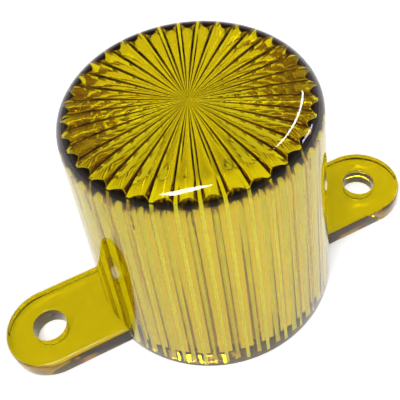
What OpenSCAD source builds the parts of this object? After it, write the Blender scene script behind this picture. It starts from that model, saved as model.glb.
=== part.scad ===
// Amber lamp dome with two screw ears: a clear moulded cap that stands over a signal lamp.
// The cap is open at the bottom (z = 0). Its outside is smooth and glossy, and its inside is
// reeded: the same number of low ridged ribs runs up the side wall and in to the crown's centre.

/* [Body] */
// Outer diameter at the open mouth
mouth_d = 32; // [30:0.5:40]
// Outer diameter that the drafted wall would reach at the crown
crown_d = 28.8; // [26:0.2:30]
// Overall height, mouth to crown
height = 31.3; // [24:0.1:40]
// Radius of the rounded edge between side wall and crown
edge_r = 2.8; // [2.4:0.1:3.4]
// Thickness of the smooth side wall outside the ribs
wall_t = 0.9; // [0.7:0.05:1.2]
// Thickness of the smooth crown above the ribs
crown_t = 1.3; // [0.9:0.05:1.4]
// Height of the foot ring that the ears spring from
foot_h = 2.7; // [2.7:0.1:6]

/* [Reeding] */
// Number of ribs round the cap
ribs = 36; // [24:2:40]
// How far a side rib stands into the cavity
rib_h = 0.9; // [0.6:0.05:1.2]
// How far a crown rib hangs down at its outer end
crown_rib_h = 0.3; // [0.2:0.05:0.6]
// Thin root that the ribs share between their valleys and the smooth wall
root_t = 0.2; // [0.15:0.05:0.3]

/* [Ears] */
// Distance between the two screw holes
hole_spacing = 47.6; // [46:0.2:60]
// Diameter of each screw hole
hole_d = 4.4; // [3:0.1:5]
// Width of an ear across its full-round end
ear_w = 11.6; // [9:0.1:14]
// Thickness of an ear
ear_t = 2.7; // [2:0.1:2.7]
// Rounding of an ear's top edges
ear_round = 0.5; // [0.2:0.1:0.8]

/* [Hidden] */
$fn = 96;
overcut = 1;             // how far a cutter runs past what it cuts
rib_steps = 8;           // straight facets across one rib
rib_share = 0.42;        // half-width of a rib as a share of the rib pitch
flank_fall = 0.4;        // share of a rib's height that its flanks lose evenly from the ridge
ring_n = ribs * rib_steps;
ceiling_z = height - crown_t;
shoulder_z = height - edge_r;
amber = [0.80, 0.66, 0.06, 0.75];
deep_amber = [0.62, 0.50, 0.04, 0.85];

// Outer radius of the drafted wall at a height above the mouth.
function wall_r(z) = (mouth_d - (mouth_d - crown_d) * z / height) / 2;
// Radius of the seam between the smooth shell and the ribs behind it.
function seam_r(z) = wall_r(z) - wall_t;
// How full a rib is at a step round the ring: 1 on its blunt ridge, falling ever more steeply to
// 0 in the valley beside it.
function rib_fill(i) =
    let (across = min(1, abs((i % rib_steps) / rib_steps - 0.5) / rib_share))
    1 - flank_fall * across - (1 - flank_fall) * pow(across, 3);
// Inner outline radius at a step round the ring, scalloped by the rib crests.
function scallop_r(i, z) = seam_r(z) - root_t - rib_h * rib_fill(i);

function plain_ring(radius, z) =
    [for (i = [0 : ring_n - 1]) let (a = 360 * i / ring_n) [radius * cos(a), radius * sin(a), z]];
function scalloped_ring(z) =
    [for (i = [0 : ring_n - 1]) let (a = 360 * i / ring_n, r = scallop_r(i, z))
        [r * cos(a), r * sin(a), z]];
function rib_end_ring(z) =
    [for (i = [0 : ring_n - 1]) let (a = 360 * i / ring_n, r = scallop_r(i, shoulder_z))
        [r * cos(a), r * sin(a), z - crown_rib_h * rib_fill(i)]];
// Two triangles for each step between ring number lower and ring number upper.
function band(lower, upper) =
    [for (i = [0 : ring_n - 1]) let (j = (i + 1) % ring_n)
        each [[lower * ring_n + i, upper * ring_n + i, lower * ring_n + j],
              [lower * ring_n + j, upper * ring_n + i, upper * ring_n + j]]];

// A sleeve whose outside follows the seam and whose inside is scalloped by the ribs.
module reeded_sleeve(z_low, z_high) {
    polyhedron(
        points = concat(plain_ring(seam_r(z_low), z_low), plain_ring(seam_r(z_high), z_high),
                        scalloped_ring(z_high), scalloped_ring(z_low)),
        faces = concat(band(0, 1), band(1, 2), band(2, 3), band(3, 0)));
}

// The drafted outer shell between two heights, as a plain smooth ring.
module shell_ring(z_low, z_high) {
    rotate_extrude()
        polygon([[seam_r(z_low), z_low], [wall_r(z_low), z_low],
                 [wall_r(z_high), z_high], [seam_r(z_high), z_high]]);
}

// Smooth top of the cap with its rounded edge; the rib corners fill the rebate under it.
module crown() {
    edge_centre = wall_r(shoulder_z) - edge_r;
    color(amber)
        difference() {
            rotate_extrude() {
                translate([0, shoulder_z]) square([edge_centre, edge_r]);
                translate([edge_centre, shoulder_z])
                    intersection() {
                        circle(r = edge_r);
                        square(edge_r);
                    }
            }
            translate([0, 0, shoulder_z - overcut])
                cylinder(r = seam_r(shoulder_z), h = ceiling_z - shoulder_z + overcut);
        }
}

// Radial ribs under the crown, all running out from its centre and deepest at the rim.
module crown_ribs() {
    centre_low = 2 * ring_n;
    centre_high = centre_low + 1;
    low_z = ceiling_z - root_t;
    under = [for (i = [0 : ring_n - 1]) [centre_low, i, (i + 1) % ring_n]];
    over = [for (i = [0 : ring_n - 1]) [centre_high, ring_n + (i + 1) % ring_n, ring_n + i]];
    rim = [for (p = scalloped_ring(shoulder_z)) [p.x, p.y, ceiling_z]];
    color(deep_amber)
        polyhedron(
            points = concat(rib_end_ring(low_z), rim, [[0, 0, low_z], [0, 0, ceiling_z]]),
            faces = concat(under, over, band(0, 1)));
}

// Blunt upper ends of the side ribs: the scalloped ring that shows through the crown's edge.
module rib_corners() {
    outline = [for (p = scalloped_ring(shoulder_z)) [p.x, p.y]];
    color(deep_amber)
        translate([0, 0, shoulder_z])
            difference() {
                cylinder(r = seam_r(shoulder_z), h = ceiling_z - shoulder_z);
                translate([0, 0, -overcut])
                    linear_extrude(ceiling_z - shoulder_z + 2 * overcut) polygon(outline);
            }
}

// Smooth drafted wall from the foot ring up to the crown.
module side_wall() {
    color(amber) shell_ring(foot_h, shoulder_z);
}

// Ridged ribs up the inside of the wall, from the mouth to the crown's shoulder.
module side_ribs() {
    color(deep_amber) reeded_sleeve(0, shoulder_z);
}

// Lowest band of the wall, level with the ears and resting on the panel.
module foot_ring() {
    color(amber) shell_ring(0, foot_h);
}

// Half of an ear's cross-section, square at the bottom and rounded at the top outer edge.
module ear_half_section() {
    square([ear_w / 2 - ear_round, ear_t]);
    square([ear_w / 2, ear_t - ear_round]);
    translate([ear_w / 2 - ear_round, ear_t - ear_round]) circle(r = ear_round);
}

// Flat screw ear with a full-round end, trimmed to the foot ring it springs from.
module ear() {
    hole_x = hole_spacing / 2;
    color(amber)
        difference() {
            union() {
                translate([hole_x, 0, 0]) rotate_extrude() ear_half_section();
                rotate([90, 0, 90])
                    linear_extrude(hole_x) {
                        ear_half_section();
                        mirror([1, 0, 0]) ear_half_section();
                    }
            }
            translate([0, 0, -overcut])
                cylinder(r1 = wall_r(-overcut), r2 = wall_r(foot_h + overcut),
                         h = foot_h + 2 * overcut);
            translate([hole_x, 0, -overcut]) cylinder(d = hole_d, h = ear_t + 2 * overcut);
        }
}

module right_ear() {
    ear();
}

module left_ear() {
    mirror([1, 0, 0]) ear();
}

crown();
crown_ribs();
rib_corners();
side_wall();
side_ribs();
foot_ring();
left_ear();
right_ear();
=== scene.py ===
"""Clear amber lamp dome with two screw ears, standing on a pale floor."""
import math

import bmesh
import bpy
import numpy as np
from mathutils import Matrix, Vector


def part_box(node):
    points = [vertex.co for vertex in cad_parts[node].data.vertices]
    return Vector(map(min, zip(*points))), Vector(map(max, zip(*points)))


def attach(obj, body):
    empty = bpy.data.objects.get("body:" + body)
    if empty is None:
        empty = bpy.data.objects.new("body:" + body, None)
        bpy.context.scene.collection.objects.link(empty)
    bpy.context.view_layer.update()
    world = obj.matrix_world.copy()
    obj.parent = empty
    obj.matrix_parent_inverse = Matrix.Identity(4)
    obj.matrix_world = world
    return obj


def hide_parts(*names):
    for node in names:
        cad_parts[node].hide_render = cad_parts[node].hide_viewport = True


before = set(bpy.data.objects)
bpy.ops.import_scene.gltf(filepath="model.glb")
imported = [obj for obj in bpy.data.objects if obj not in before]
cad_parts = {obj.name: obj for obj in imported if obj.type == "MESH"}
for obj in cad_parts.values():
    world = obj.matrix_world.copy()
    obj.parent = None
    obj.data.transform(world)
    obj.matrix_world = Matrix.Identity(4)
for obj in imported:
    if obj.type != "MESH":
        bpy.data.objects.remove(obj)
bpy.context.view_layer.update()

MM = 0.001

# Ribs: the same number runs up the wall and in to the crown's centre.
RIBS = 36
RIB_STEPS = 16              # steps across one rib
RIB_SHARE = 0.42            # half-width of a rib as a share of the rib pitch
FLANK_FALL = 0.4            # share of a rib's height that its flanks lose evenly
RIB_H = 0.9 * MM            # how far a side rib stands into the cavity
ROOT = 0.2 * MM             # plastic between a rib valley and the smooth shell
INNER_FILLET = 0.08 * MM    # where the side ribs meet the crown ribs
CROWN_FADE = 0.5            # share of the radius over which the crown ribs fade to the centre

# Where the rings of the dome's mesh lie, as shares of a radius or a height.
CROWN_RINGS = (0.15, 0.4, 0.7, 0.9, 0.99)
UNDERSIDE_RINGS = (0.9, 0.7, 0.5, 0.35, 0.22, 0.12, 0.05, 0.015)
WALL_RINGS = 12
WALL_TOP_SHARE = 0.98       # the wall's highest ring, just below the rounded edge
EDGE_STEPS = 16
ROUND_STEPS = 4             # steps round a small rounded corner

# Small roundings and the ears.
MOUTH_ROUND = 0.15 * MM
EAR_TOP_ROUND = 0.5 * MM
EAR_TOP_STEPS = 7
EAR_TOP_REACH = 1.15        # the flat top starts this many roundings in from the outline
EAR_FOOT_ROUND = 0.12 * MM
EAR_BITE = 0.5 * MM         # how far an ear runs into the wall that it is joined to
EAR_END_STEPS = 49
EAR_ROOT_STEPS = 9
SCREW_HOLE_R = 2.2 * MM
HOLE_STEPS = 64
HOLE_FLARE = 0.12 * MM      # rounding of the screw holes' rims
DRILL_PAST = 0.3 * MM       # how far a hole's cutter runs past the ear
SHARP_ANGLE = 32            # degrees; steeper edges stay crisp

# Plastic: its optics, and what the amber takes from the light on its way through.
PLASTIC_IOR = 1.49
PLASTIC_TINT = (1.0, 0.98, 0.2, 1)
ABSORB_COLOR = (0.9375, 0.903, 0.0, 1)
ABSORB_DENSITY = 1600

# Surface: roughness of the polish, of the duller reeded inside and of the wear.
POLISH = (0.012, 0.035)
POLISH_SCALE = 90
CAVITY_ROUGHNESS = 0.06
SCUFF_SCALE = 260
SCUFF_ROUGHNESS = 0.1
# Hairline scratches: noise scale along each axis, turn in degrees, fade in, added roughness.
SCRATCHES = (
    ((90, 3500, 90), 35, (0.72, 0.8), 0.12),
    ((110, 4200, 110), -50, (0.73, 0.8), 0.1),
)
SCRATCH_DEPTH = 0.01 * MM
SCRATCH_BUMP = 0.3
WAVE_SCALE = 700            # slight waviness left by the mould
WAVE_DEPTH = 0.02 * MM
WAVE_BUMP = 0.25

# Room: a bright low horizon under a dim ceiling, over a softly glowing floor.
HORIZON_GLOW = 0.5
CEILING_GLOW = 0.08
HORIZON_TOP = 5             # degrees of elevation where the horizon starts to fade
CEILING_START = 25
FLOOR_GLOW = 0.4
FLOOR_ALBEDO = 0.9
FLOOR_ROUGHNESS = 0.9
FLOOR_SIZE = 3
FLOOR_GAP = 0.03 * MM       # keeps the floor clear of the dome's underside

# Lamps, in metres: two points on the crown's rounded edge that mirror them.
FRONT_EDGE = Vector((-5.5, -11.9, 31.3)) * MM
RIGHT_EDGE = Vector((8.4, -8.9, 31.3)) * MM
LAVENDER = (0.86, 0.8, 1)

# The photograph's viewpoint, with the small shift that its framing needs.
CAMERA_PLACE = Vector((-16.63, -50.31, 77.9)) * MM
CAMERA_RIGHT = Vector((0.89088, -0.44564, -0.08796))
CAMERA_UP = Vector((0.39521, 0.66499, 0.63371))
SENSOR_WIDTH = 36
LENS = 59.68
SHIFT = (-0.05, -0.015)
CLIP_START = 5 * MM

# Light bounces that a ribbed clear dome needs.
CLEAR_BOUNCES = 32
GLOSSY_BOUNCES = 16
DIFFUSE_BOUNCES = 4


def node_low(name):
    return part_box(name)[0]


def node_high(name):
    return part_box(name)[1]


mouth_r = node_high("foot_ring").x
height = node_high("crown").z
shoulder_z = node_low("crown").z
shoulder_r = node_high("crown").x
edge_r = height - shoulder_z
ceiling_z = node_high("crown_ribs").z
crown_rib_h = ceiling_z - node_low("crown_ribs").z - ROOT
wall_t = mouth_r - node_high("side_ribs").x
ear_t = node_high("right_ear").z
ear_half_w = node_high("right_ear").y
hole_x = node_high("right_ear").x - ear_half_w


def wall_r(z):
    """Outer radius of the drafted wall at height z."""
    return mouth_r + (shoulder_r - mouth_r) * z / shoulder_z


def rib_columns():
    """Angle and fullness (0 valley, 1 ridge) of each column of the dome's mesh."""
    pitch = 2 * math.pi / RIBS
    across = np.linspace(-1, 1, RIB_STEPS + 1)
    side = np.abs(across)
    fill = 1 - FLANK_FALL * side - (1 - FLANK_FALL) * side ** 3
    angles = []
    for rib in range(RIBS):
        angles.extend((rib + 0.5 + RIB_SHARE * across) * pitch)
    return np.array(angles), np.tile(fill, RIBS)


def ring(angles, radius, z):
    """A level ring of points; radius and z may vary round it."""
    radius = np.broadcast_to(radius, angles.shape)
    z = np.broadcast_to(z, angles.shape)
    return np.stack([radius * np.cos(angles), radius * np.sin(angles), z], axis=1)


def arc(centre_r, centre_z, radius, start, end, steps):
    """Points (r, z) along an arc, angles in degrees from the +r direction."""
    for a in np.radians(np.linspace(start, end, steps)):
        yield centre_r + radius * math.cos(a), centre_z + radius * math.sin(a)


def rounded_corner(radius, steps):
    """Points (inset, drop) round a corner, from its side in to its flat."""
    for a in np.radians(np.linspace(0, 90, steps)):
        yield radius * (1 - math.cos(a)), radius * (1 - math.sin(a))


def outer_rings(angles):
    """Smooth outside, from near the crown's centre out and down to the mouth."""
    edge_centre = shoulder_r - edge_r
    for share in CROWN_RINGS:
        yield ring(angles, edge_centre * share, height)
    for r, z in arc(edge_centre, shoulder_z, edge_r, 90, 2, EDGE_STEPS):
        yield ring(angles, r, z)
    for share in np.linspace(WALL_TOP_SHARE, 0, WALL_RINGS):
        z = MOUTH_ROUND + (shoulder_z - MOUTH_ROUND) * share
        yield ring(angles, wall_r(z), z)
    for r, z in arc(mouth_r - MOUTH_ROUND, MOUTH_ROUND, MOUTH_ROUND, -30, -90, 3):
        yield ring(angles, r, z)


def inner_rings(angles, fill):
    """Reeded inside, from the mouth up and in to near the crown's centre."""
    for share in np.linspace(0, 1, WALL_RINGS):
        z = shoulder_z * share
        rim_r = wall_r(z) - wall_t - ROOT - RIB_H * fill
        yield ring(angles, rim_r, z)
    rim_z = ceiling_z - ROOT - crown_rib_h * fill
    for inset, drop in rounded_corner(INNER_FILLET, ROUND_STEPS):
        yield ring(angles, rim_r - inset, rim_z - drop)
    for share in UNDERSIDE_RINGS:
        z = ceiling_z - ROOT - crown_rib_h * fill * min(1, share / CROWN_FADE)
        yield ring(angles, (rim_r - INNER_FILLET) * share, z)


def mesh_object(name, verts, faces):
    mesh = bpy.data.meshes.new(name)
    mesh.from_pydata([tuple(v) for v in verts], [], faces)
    mesh.update()
    obj = bpy.data.objects.new(name, mesh)
    bpy.context.scene.collection.objects.link(obj)
    return obj


def skin_rings(name, rings, low_cap=None, high_cap=None):
    """A closed skin over stacked rings; a cap is a centre point, or None for one flat face."""
    n = len(rings[0])
    verts = np.concatenate(rings)
    faces = []
    for k in range(len(rings) - 1):
        for i in range(n):
            j = (i + 1) % n
            faces.append((k * n + i, k * n + j, (k + 1) * n + j, (k + 1) * n + i))
    last = (len(rings) - 1) * n
    if low_cap is None:
        faces.append(tuple(range(n - 1, -1, -1)))
        faces.append(tuple(range(last, last + n)))
    else:
        top = len(verts)
        verts = np.concatenate([verts, [low_cap, high_cap]])
        for i in range(n):
            j = (i + 1) % n
            faces.append((top, j, i))
            faces.append((top + 1, last + i, last + j))
    obj = mesh_object(name, verts, faces)
    bm = bmesh.new()
    bm.from_mesh(obj.data)
    bmesh.ops.recalc_face_normals(bm, faces=bm.faces)
    bm.to_mesh(obj.data)
    bm.free()
    return obj


def ear_outline(inset):
    """Ear outline: an arc inside the wall, two straight sides and a full-round end."""
    half = ear_half_w - inset
    inner_r = mouth_r - EAR_BITE
    root = math.asin(half / inner_r)
    points = []
    for a in np.linspace(root, -root, EAR_ROOT_STEPS):
        points.append((inner_r * math.cos(a), inner_r * math.sin(a)))
    for a in np.linspace(-math.pi / 2, math.pi / 2, EAR_END_STEPS):
        points.append((hole_x + half * math.cos(a), half * math.sin(a)))
    return np.array(points)


def make_ear(side):
    """One ear; side is 1 for the right ear and -1 for the left."""
    levels = list(rounded_corner(EAR_FOOT_ROUND, ROUND_STEPS))[::-1]
    for inset, drop in rounded_corner(EAR_TOP_ROUND, EAR_TOP_STEPS):
        levels.append((inset, ear_t - drop))
    levels.append((EAR_TOP_ROUND * EAR_TOP_REACH, ear_t))
    rings = []
    for inset, z in levels:
        flat = ear_outline(inset)
        rings.append(np.column_stack([flat[:, 0] * side, flat[:, 1], np.full(len(flat), z)]))
    return skin_rings("ear", rings)


def make_drill(side):
    """Cutter for a screw hole, flared a little at both ends for rounded hole rims."""
    angles = np.linspace(0, 2 * math.pi, HOLE_STEPS + 1)[:-1]
    half = [(SCREW_HOLE_R + HOLE_FLARE, -DRILL_PAST)]
    for inset, drop in list(rounded_corner(HOLE_FLARE, ROUND_STEPS))[::-1]:
        half.append((SCREW_HOLE_R + inset, drop))
    levels = half + [(r, ear_t - z) for r, z in reversed(half)]
    rings = [ring(angles, r, z) + np.array([hole_x * side, 0, 0]) for r, z in levels]
    return skin_rings("drill", rings)


def boolean(target, tool, operation):
    """Cut target with tool or join the two, and remove tool."""
    mod = target.modifiers.new(operation, "BOOLEAN")
    mod.operation = operation
    mod.solver = "EXACT"
    mod.object = tool
    depsgraph = bpy.context.evaluated_depsgraph_get()
    mesh = bpy.data.meshes.new_from_object(target.evaluated_get(depsgraph))
    target.modifiers.clear()
    target.data = mesh
    bpy.data.objects.remove(tool)


def shade(obj):
    """Smooth shading, with the steep edges kept crisp."""
    bm = bmesh.new()
    bm.from_mesh(obj.data)
    limit = math.radians(SHARP_ANGLE)
    for face in bm.faces:
        face.smooth = True
    for edge in bm.edges:
        edge.smooth = edge.calc_face_angle(0) < limit
    bm.to_mesh(obj.data)
    bm.free()


def make_dome():
    """The whole moulding as one closed mesh, so that light passes through it unbroken."""
    angles, fill = rib_columns()
    rings = [*outer_rings(angles), *inner_rings(angles, fill)]
    dome = skin_rings("lamp_dome", rings, (0, 0, height), (0, 0, ceiling_z - ROOT))
    for side in (-1, 1):
        ear = make_ear(side)
        boolean(ear, make_drill(side), "DIFFERENCE")
        boolean(dome, ear, "UNION")
    shade(dome)
    return dome


class Shader:
    """Short hand for adding and linking a material's nodes."""

    def __init__(self, name):
        self.material = bpy.data.materials.new(name)
        self.material.use_nodes = True
        self.tree = self.material.node_tree
        self.bsdf = self.tree.nodes["Principled BSDF"]
        self.place = self.add("TexCoord").outputs["Object"]

    def add(self, kind, **settings):
        node = self.tree.nodes.new("ShaderNode" + kind)
        for key, value in settings.items():
            setattr(node, key, value)
        return node

    def link(self, source, target):
        self.tree.links.new(source, target)

    def stretched(self, scale, turn):
        """Object coordinates in metres, turned about Z (degrees) and scaled along each axis."""
        mapping = self.add("Mapping")
        mapping.inputs["Rotation"].default_value = (0, 0, math.radians(turn))
        mapping.inputs["Scale"].default_value = scale
        self.link(self.place, mapping.inputs["Vector"])
        return mapping.outputs["Vector"]

    def noise(self, vector, scale, detail=2):
        noise = self.add("TexNoise")
        noise.inputs["Scale"].default_value = scale
        noise.inputs["Detail"].default_value = detail
        self.link(vector, noise.inputs["Vector"])
        return noise.outputs["Fac"]

    def remap(self, value, start, end, low, high):
        """Fade from low to high while the value goes from start to end."""
        fade = self.add("MapRange", interpolation_type="SMOOTHSTEP")
        for key, number in (("From Min", start), ("From Max", end),
                            ("To Min", low), ("To Max", high)):
            fade.inputs[key].default_value = number
        self.link(value, fade.inputs["Value"])
        return fade.outputs["Result"]

    def combine(self, operation, first, second):
        """Join two values; either may be a plain number."""
        node = self.add("Math", operation=operation)
        for socket, value in zip(node.inputs, (first, second)):
            if isinstance(value, (int, float)):
                socket.default_value = value
            else:
                self.link(value, socket)
        return node.outputs[0]

    def choose(self, share, low, high):
        """Blend from low (share 0) to the plain number high (share 1)."""
        blend = self.add("Mix")
        self.link(share, blend.inputs["Factor"])
        self.link(low, blend.inputs["A"])
        blend.inputs["B"].default_value = high
        return blend.outputs["Result"]

    def in_cavity(self):
        """1 on the reeded inside, 0 on the smooth outside and the ears."""
        split = self.add("SeparateXYZ")
        self.link(self.place, split.inputs[0])
        x, y, z = split.outputs
        squares = self.combine("ADD", self.combine("MULTIPLY", x, x),
                               self.combine("MULTIPLY", y, y))
        radius = self.combine("POWER", squares, 0.5)
        draft = (mouth_r - shoulder_r) / shoulder_z
        undrafted = self.combine("ADD", radius, self.combine("MULTIPLY", z, draft))
        inside = self.combine("LESS_THAN", undrafted, mouth_r - wall_t)
        below = self.combine("LESS_THAN", z, ceiling_z)
        return self.combine("MULTIPLY", inside, below)

    def hairlines(self, stretch, turn, fade_in, roughness):
        """Roughness of thin scratches that all run one way."""
        lines = self.noise(self.stretched(stretch, turn), 1)
        return self.remap(lines, *fade_in, 0, roughness)

    def bump(self, height_map, strength, depth, invert=False):
        bump = self.add("Bump", invert=invert)
        bump.inputs["Strength"].default_value = strength
        bump.inputs["Distance"].default_value = depth
        self.link(height_map, bump.inputs["Height"])
        return bump


def amber_plastic():
    """Polished amber plastic with hairline scratches, scuffs and a slight moulded waviness."""
    s = Shader("amber_plastic")
    s.bsdf.inputs["Base Color"].default_value = PLASTIC_TINT
    s.bsdf.inputs["Transmission Weight"].default_value = 1.0
    s.bsdf.inputs["IOR"].default_value = PLASTIC_IOR
    scratches = s.combine("ADD", *(s.hairlines(*lines) for lines in SCRATCHES))
    scuffs = s.remap(s.noise(s.place, SCUFF_SCALE, 5), 0.62, 0.78, 0, SCUFF_ROUGHNESS)
    polish = s.remap(s.noise(s.place, POLISH_SCALE), 0.3, 0.7, *POLISH)
    outside = s.combine("ADD", polish, s.combine("ADD", scuffs, scratches))
    s.link(s.choose(s.in_cavity(), outside, CAVITY_ROUGHNESS), s.bsdf.inputs["Roughness"])
    waves = s.bump(s.noise(s.place, WAVE_SCALE, 3), WAVE_BUMP, WAVE_DEPTH)
    scored = s.bump(scratches, SCRATCH_BUMP, SCRATCH_DEPTH, invert=True)
    s.link(waves.outputs["Normal"], scored.inputs["Normal"])
    s.link(scored.outputs["Normal"], s.bsdf.inputs["Normal"])
    absorb = s.add("VolumeAbsorption")
    absorb.inputs["Color"].default_value = ABSORB_COLOR
    absorb.inputs["Density"].default_value = ABSORB_DENSITY
    s.link(absorb.outputs["Volume"], s.tree.nodes["Material Output"].inputs["Volume"])
    return s.material


def make_floor():
    bpy.ops.mesh.primitive_plane_add(size=FLOOR_SIZE, location=(0, 0, -FLOOR_GAP))
    floor = bpy.context.object
    floor.name = "floor"
    s = Shader("floor")
    s.bsdf.inputs["Base Color"].default_value = (FLOOR_ALBEDO, FLOOR_ALBEDO, FLOOR_ALBEDO, 1)
    s.bsdf.inputs["Roughness"].default_value = FLOOR_ROUGHNESS
    s.bsdf.inputs["Emission Color"].default_value = (1, 1, 1, 1)
    s.bsdf.inputs["Emission Strength"].default_value = FLOOR_GLOW
    floor.data.materials.append(s.material)


def make_sky():
    """Bright low surroundings under a dim ceiling."""
    world = bpy.data.worlds.new("sky")
    bpy.context.scene.world = world
    world.use_nodes = True
    nodes = world.node_tree.nodes
    links = world.node_tree.links
    coords = nodes.new("ShaderNodeTexCoord")
    split = nodes.new("ShaderNodeSeparateXYZ")
    links.new(coords.outputs["Generated"], split.inputs[0])
    fade = nodes.new("ShaderNodeMapRange")
    fade.interpolation_type = "SMOOTHSTEP"
    fade.inputs["From Min"].default_value = math.sin(math.radians(HORIZON_TOP))
    fade.inputs["From Max"].default_value = math.sin(math.radians(CEILING_START))
    fade.inputs["To Min"].default_value = HORIZON_GLOW
    fade.inputs["To Max"].default_value = CEILING_GLOW
    links.new(split.outputs["Z"], fade.inputs["Value"])
    nodes["Background"].inputs["Color"].default_value = (1, 1, 1, 1)
    links.new(fade.outputs["Result"], nodes["Background"].inputs["Strength"])


def looking(across, up, back, place):
    """Transform that puts an object at place with these three unit axes."""
    return Matrix.Translation(place) @ Matrix((across, up, back)).transposed().to_4x4()


def area_light(name, target, start, end, distance, width, radiance, color=(1, 1, 1)):
    """A strip of light seen from target between the directions start and end."""
    start = Vector(start).normalized()
    end = Vector(end).normalized()
    middle = (start + end).normalized()
    light = bpy.data.lights.new(name, "AREA")
    light.shape = "RECTANGLE"
    light.size = width
    light.size_y = (end - start).length * distance
    light.energy = radiance * math.pi * light.size * light.size_y
    light.color = color
    obj = bpy.data.objects.new(name, light)
    across = (end - start).cross(middle).normalized()
    place = target + middle * distance
    obj.matrix_world = looking(across, middle.cross(across), middle, place)
    bpy.context.scene.collection.objects.link(obj)


def make_lights():
    """Three lamps, placed so that the crown's rounded edge mirrors each one."""
    area_light("overhead", FRONT_EDGE, (-0.47, -0.3, 0.83), (0.03, -0.04, 1),
               distance=1, width=0.17, radiance=22)
    area_light("strip", RIGHT_EDGE, (0.56, 0.58, 0.62), (0.38, 0.31, 0.87),
               distance=0.06, width=0.006, radiance=20)
    area_light("side", RIGHT_EDGE, (0.97, -0.056, 0.235), (0.884, -0.272, 0.38),
               distance=1, width=0.1, radiance=14, color=LAVENDER)


def make_camera():
    data = bpy.data.cameras.new("camera")
    data.sensor_width = SENSOR_WIDTH
    data.lens = LENS
    data.shift_x, data.shift_y = SHIFT
    data.clip_start = CLIP_START
    camera = bpy.data.objects.new("camera", data)
    bpy.context.scene.collection.objects.link(camera)
    right = CAMERA_RIGHT.normalized()
    back = right.cross(CAMERA_UP).normalized()
    camera.matrix_world = looking(right, back.cross(right), back, CAMERA_PLACE)
    bpy.context.scene.camera = camera


dome = make_dome()
dome.data.materials.clear()
dome.data.materials.append(amber_plastic())
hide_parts("crown", "crown_ribs", "rib_corners", "side_wall", "side_ribs", "foot_ring",
            "left_ear", "right_ear")
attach(dome, "root")
make_floor()
make_sky()
make_lights()
make_camera()

scene = bpy.context.scene
scene.view_settings.view_transform = "Standard"
scene.cycles.max_bounces = CLEAR_BOUNCES
scene.cycles.transmission_bounces = CLEAR_BOUNCES
scene.cycles.glossy_bounces = GLOSSY_BOUNCES
scene.cycles.diffuse_bounces = DIFFUSE_BOUNCES
